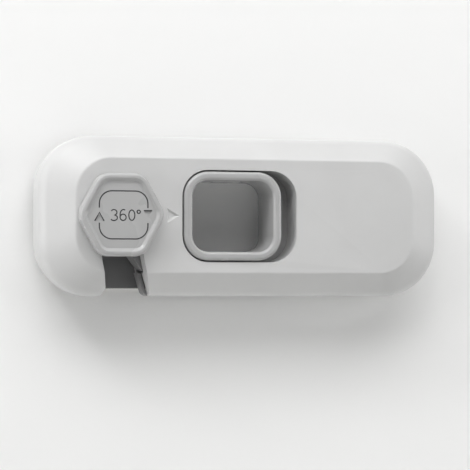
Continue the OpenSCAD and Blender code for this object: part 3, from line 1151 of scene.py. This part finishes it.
@dataclass
class Knob:
    """The hexagonal head that turns on the other door, with its neck, washer and screw."""

    edge: EdgeFinish = EdgeFinish(radius=0.12 * MM, segments=2, sharp_degrees=40.0)
    washer_edge: EdgeFinish = EdgeFinish(radius=0.08 * MM, segments=2)
    mark: TurnMark = TurnMark()
    joint: str = "knob_turn"
    dish: float = 0.8 * MM
    screws: Screws = Screws(
        "knob_screw",
        Body.KNOB,
        head_radius=3.5 * MM,
        head_height=0.9 * MM,
        shank_radius=1.5 * MM,
    )

    def build(self, frame: dict, finishes: Finishes) -> None:
        """Makes and dresses the knob's pieces and its mark.

        Args:
            frame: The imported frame.
            finishes: The lock's finishes.
        """
        axis = joint_named(frame, self.joint)["pos_m"][0]
        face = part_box("hex_knob")[0].y + self.dish
        self.build_head(frame, finishes, axis, face)
        self.build_print(finishes, axis, face)
        parts = (("knob_washer", self.washer_edge, finishes.steel, Slot.STEEL),)
        fit_parts(frame, Body.KNOB, "pressed", parts)
        self.screws.build(frame, finishes.steel)

    def build_head(self, frame: dict, finishes: Finishes, axis: float, face: float) -> None:
        """Makes and dresses the head, with the arrowheads pressed in its dish.

        Args:
            frame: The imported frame.
            finishes: The lock's finishes.
            axis: X of the knob's axis.
            face: Y of the dish.
        """
        outlines = [[(axis + x, z) for x, z in path] for path in in_metres(self.mark.arrowheads)]
        press = prisms(outlines, face - self.dish / 2, face + self.mark.arrow_depth)
        head = refined_piece(frame["nodes"]["hex_knob"], "hex_knob_moulded", self.edge, press)
        dress(head, finishes.grey, Body.KNOB, Slot.GREY, "hex_knob")

    def build_print(self, finishes: Finishes, axis: float, face: float) -> None:
        """Prints the mark's loop and number in the dish, and lays strokes of painted shadow along the
        pressed arrowheads' upper edges.

        Args:
            finishes: The lock's finishes.
            axis: X of the knob's axis.
            face: Y of the dish.
        """
        mark = self.mark
        prints = (
            ("turn_loop", mark.loop(), mark.loop_stroke),
            ("turn_number", mark.number(), mark.number_stroke),
            # The arrows' strokes are painted shadow: dark ink along the arrowheads' upper edges,
            # where the recess lies in shade.
            ("turn_arrows", in_metres(mark.arrow_painted_shadows), mark.number_stroke),
        )
        for name, strokes, width in prints:
            paths = [[(axis + x, z) for x, z in path] for path in strokes]
            values = {
                "Stroke Width": width,
                "Film Share": mark.film_share,
                "Face Level": face,
                "Finish": finishes.ink,
            }
            film = stroke_tree().mesh(name, polylines(paths), values)
            dress(add_object(name, film), finishes.ink, Body.KNOB, Slot.DARK)


@dataclass
class DoorPlates:
    """The two plates on their foam pads, with the pivot's washers and screw."""

    plate_edge: EdgeFinish = EdgeFinish(radius=0.35 * MM)
    pad_edge: EdgeFinish = EdgeFinish(radius=0.12 * MM, segments=2)
    washer_edge: EdgeFinish = EdgeFinish(radius=0.08 * MM, segments=2)
    screws: Screws = Screws(
        "pivot_screw",
        Body.DOORS,
        head_radius=4.0 * MM,
        head_height=2.2 * MM,
        shank_radius=2.0 * MM,
        towards_door=True,
    )

    def build(self, frame: dict, finishes: Finishes) -> None:
        """Makes and dresses the pieces that stay on the doors.

        Args:
            frame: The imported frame.
            finishes: The lock's finishes.
        """
        parts = (
            ("base_plate", self.plate_edge, finishes.shell, Slot.SHELL),
            ("stud_base", self.plate_edge, finishes.dark, Slot.DARK),
            ("base_pad", self.pad_edge, finishes.foam, Slot.FOAM),
            ("stud_pad", self.pad_edge, finishes.foam, Slot.FOAM),
            ("slip_washer", self.washer_edge, finishes.grey, Slot.GREY),
            ("pivot_washer", self.washer_edge, finishes.steel, Slot.STEEL),
        )
        fit_parts(frame, Body.DOORS, "fitted", parts)
        self.screws.build(frame, finishes.steel)


@dataclass(frozen=True)
class Softbox:
    """A soft rectangular light that faces the lock, with the way to it from the lock."""

    name: str
    way: Place
    power: float
    width: float = 0.72
    height: float = 0.5


@dataclass
class Studio:
    """The pale door and floor, the soft light round them and the camera."""

    wall_level: float = 0.2 * MM
    wall_size: float = 1.2
    wall_reach: float = 4.0 * MM
    wall_colour: Colour = (0.95, 0.95, 0.945)
    floor_level: float = -0.42
    floor_size: float = 14.0
    floor_glow: float = 0.85
    floor_colour: Colour = (0.86, 0.86, 0.85)
    cloud_per_m: float = 9.0
    cloud_tints: Span = (0.995, 1.005)
    ambient: float = 0.024
    backdrop: float = 0.8
    light_distance: float = 1.0
    softboxes: tuple[Softbox, ...] = (
        Softbox("overhead", (0.0, -0.5, 0.87), 2.2),
        Softbox("top_left", (-0.35, -0.5, 0.8), 4.95),
        Softbox("top_right", (0.35, -0.5, 0.8), 2.75),
        Softbox("upper_left", (-0.6, -0.35, 0.72), 1.65, width=0.15, height=0.15),
        Softbox("left_edge", (-0.99, -0.15, 0.1), 4.1),
        Softbox("right_side", (0.85, -0.5, 0.1), 1.65),
        Softbox("right_edge", (0.99, -0.15, 0.1), 1.7),
    )
    rear_way: Place = (0.35, 0.85, 0.4)
    rear_strength: float = 2.6
    rear_degrees: float = 20.0
    # The camera, fitted to the casing's outline, with its yaw in degrees and its lens in millimetres.
    target: Place = (-0.035835, -0.011, -0.005174)
    distance: float = 0.57685
    yaw: float = 15.747
    eye_height: float = -0.019876
    lens: float = 151.84
    sensor: float = 36.0
    nearest: float = 0.01

    def see_through(self, graph: NodeGraph) -> bpy.types.NodeSocket:
        """Tells where the door's face is clear.

        That is from behind, and in what the lock's rear reflects close to the door.

        Args:
            graph: The face's material.

        Returns:
            A value of 1 where the face is clear and 0 elsewhere.
        """
        rays = graph.add("ShaderNodeLightPath").outputs
        near = graph.math("LESS_THAN", rays["Ray Length"], self.wall_reach)
        rear = graph.math("MULTIPLY", near, rays["Is Glossy Ray"])
        behind = graph.add("ShaderNodeNewGeometry").outputs["Backfacing"]
        return graph.math("MAXIMUM", rear, behind)

    def sheet(
        self, name: str, corners: list[Place], colour: Colour, glow: float = 0.0
    ) -> bpy.types.Object:
        """Makes a flat sheet of the stage.

        Args:
            name: The sheet's name.
            corners: Its four corners.
            colour: Its colour.
            glow: The share of its plain colour that is seen whatever the light. A sheet
                without any is clear from behind.

        Returns:
            The sheet.
        """
        mesh = bpy.data.meshes.new(name)
        mesh.from_pydata(corners, [], [(0, 1, 2, 3)])
        graph = NodeGraph(f"{name}_paint")
        base = graph.mottle(graph.noise(self.cloud_per_m), colour, *self.cloud_tints)
        lit = graph.add("ShaderNodeBsdfDiffuse", {"Color": base})
        if glow:
            other = graph.add("ShaderNodeEmission", {"Color": base})
            share = graph.math("MULTIPLY", graph.seen_rays(), glow)
        else:
            other = graph.add("ShaderNodeBsdfTransparent")
            share = self.see_through(graph)
        inputs = {0: share, 1: lit.outputs[0], 2: other.outputs[0]}
        mesh.materials.append(graph.finish("ShaderNodeMixShader", inputs))
        sheet = add_object(name, mesh)
        return sheet

    def build_sheets(self) -> None:
        """Makes the door's face behind the lock and the floor below it."""
        w, y = self.wall_size / 2, self.wall_level
        corners = [(-w, y, -w), (w, y, -w), (w, y, w), (-w, y, w)]
        wall = self.sheet("door_face", corners, self.wall_colour)
        wall.visible_shadow = False
        w, z = self.floor_size / 2, self.floor_level
        corners = [(-w, -w, z), (w, -w, z), (w, w, z), (-w, w, z)]
        self.sheet("floor", corners, self.floor_colour, self.floor_glow)

    def build_world(self) -> None:
        """Gives the front half of the surroundings a faint light and shows a pale backdrop."""
        world = bpy.data.worlds.new("soft_studio")
        bpy.context.scene.world = world
        world.use_nodes = True
        nodes = NodeBuilder(world.node_tree)
        nodes.tree.nodes.clear()
        way = nodes.add("ShaderNodeTexCoord").outputs["Generated"]
        split = nodes.add("ShaderNodeSeparateXYZ", {"Vector": way})
        front = nodes.math("LESS_THAN", split.outputs["Y"], 0.0)
        faint = nodes.math("MULTIPLY", front, self.ambient)
        shown = nodes.math("MULTIPLY", nodes.seen_rays(), self.backdrop)
        strength = nodes.math("MAXIMUM", faint, shown)
        light = nodes.add("ShaderNodeBackground", {"Color": WHITE, "Strength": strength})
        nodes.add("ShaderNodeOutputWorld", {"Surface": light.outputs["Background"]})

    def hang(self, light: bpy.types.Light, way: Place) -> bpy.types.Object:
        """Hangs a light that faces the lock.

        Args:
            light: The light.
            way: The way to it from the lock.

        Returns:
            The lamp.
        """
        lamp = bpy.data.objects.new(light.name, light)
        out = Vector(way).normalized()
        lamp.location = Vector(self.target) + out * self.light_distance
        lamp.rotation_euler = out.to_track_quat("Z", "Y").to_euler()
        bpy.context.scene.collection.objects.link(lamp)
        return lamp

    def build_lights(self) -> None:
        """Hangs the softboxes round the lock, and a light behind it for its rear."""
        for box in self.softboxes:
            light = bpy.data.lights.new(box.name, "AREA")
            light.shape = "RECTANGLE"
            light.size, light.size_y = box.width, box.height
            light.energy = box.power
            self.hang(light, box.way)
        rear = bpy.data.lights.new("rear_light", "SUN")
        rear.energy = self.rear_strength
        rear.angle = math.radians(self.rear_degrees)
        # It passes the door's face, so it lights only what it meets first, without a glint.
        rear.cycles.max_bounces = 0
        self.hang(rear, self.rear_way).visible_glossy = False

    def build_camera(self) -> None:
        """Sets the camera to the left of the lock, a little below it."""
        scene = bpy.context.scene
        data = bpy.data.cameras.new("camera")
        data.sensor_width = self.sensor
        data.lens = self.lens
        data.clip_start = self.nearest
        camera = bpy.data.objects.new("camera", data)
        angle = math.radians(self.yaw)
        target = Vector(self.target)
        eye = target + self.distance * Vector((-math.sin(angle), -math.cos(angle), 0.0))
        eye.z = self.eye_height
        camera.location = eye
        camera.rotation_euler = (target - eye).to_track_quat("-Z", "Y").to_euler()
        scene.collection.objects.link(camera)
        scene.camera = camera

    def build(self) -> None:
        """Makes the whole stage."""
        self.build_sheets()
        self.build_world()
        self.build_lights()
        self.build_camera()
        bpy.context.scene.view_settings.view_transform = "Standard"


def main() -> None:
    """Builds the lock's looks and its stage."""
    logging.basicConfig(level=logging.INFO, format="%(name)s %(levelname)s %(message)s")
    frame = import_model()
    finishes = Finishes.make()
    for assembly in (Casing(), Slider(), Knob(), DoorPlates()):
        assembly.build(frame, finishes)
    Studio().build()


if __name__ == "__main__":
    main()
